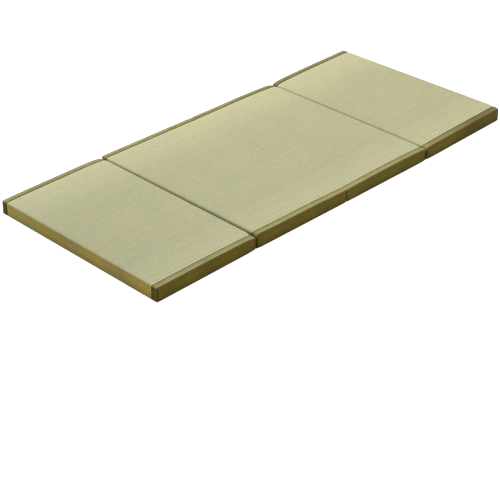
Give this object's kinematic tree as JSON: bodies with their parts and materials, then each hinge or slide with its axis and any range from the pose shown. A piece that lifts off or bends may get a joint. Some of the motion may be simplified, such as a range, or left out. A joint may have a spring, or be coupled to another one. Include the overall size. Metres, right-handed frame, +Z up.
{
  "type": "folding tatami mat",
  "caption": "Padded folding floor mat laid open and flat, with a woven rush cover, cloth bindings along its long edges and cloth side walls.",
  "frame": {"origin": "centre of the mat's footprint, on the floor that it lies on", "axes": "+X along the mat's length, across its fold lines, +Y across its width, +Z up from the floor"},
  "size_m": [2.0007, 0.91, 0.0631],
  "materials": {
    "base_cloth": "matte plain woven cloth",
    "rush": "dry woven rush with a faint sheen",
    "binding_cloth": "matte tightly woven cloth",
    "wall_cloth": "matte tightly woven cloth"
  },
  "bodies": {
    "root": {"panel_1": "base_cloth", "panel_2": "base_cloth", "panel_3": "base_cloth", "panel_4": "base_cloth", "rush_cover": "rush", "binding_near": "binding_cloth", "binding_far": "binding_cloth", "side_wall_near_1": "wall_cloth", "side_wall_near_2": "wall_cloth", "side_wall_near_3": "wall_cloth", "side_wall_near_4": "wall_cloth", "side_wall_far_1": "wall_cloth", "side_wall_far_2": "wall_cloth", "side_wall_far_3": "wall_cloth", "side_wall_far_4": "wall_cloth"}
  },
  "joints": []
}
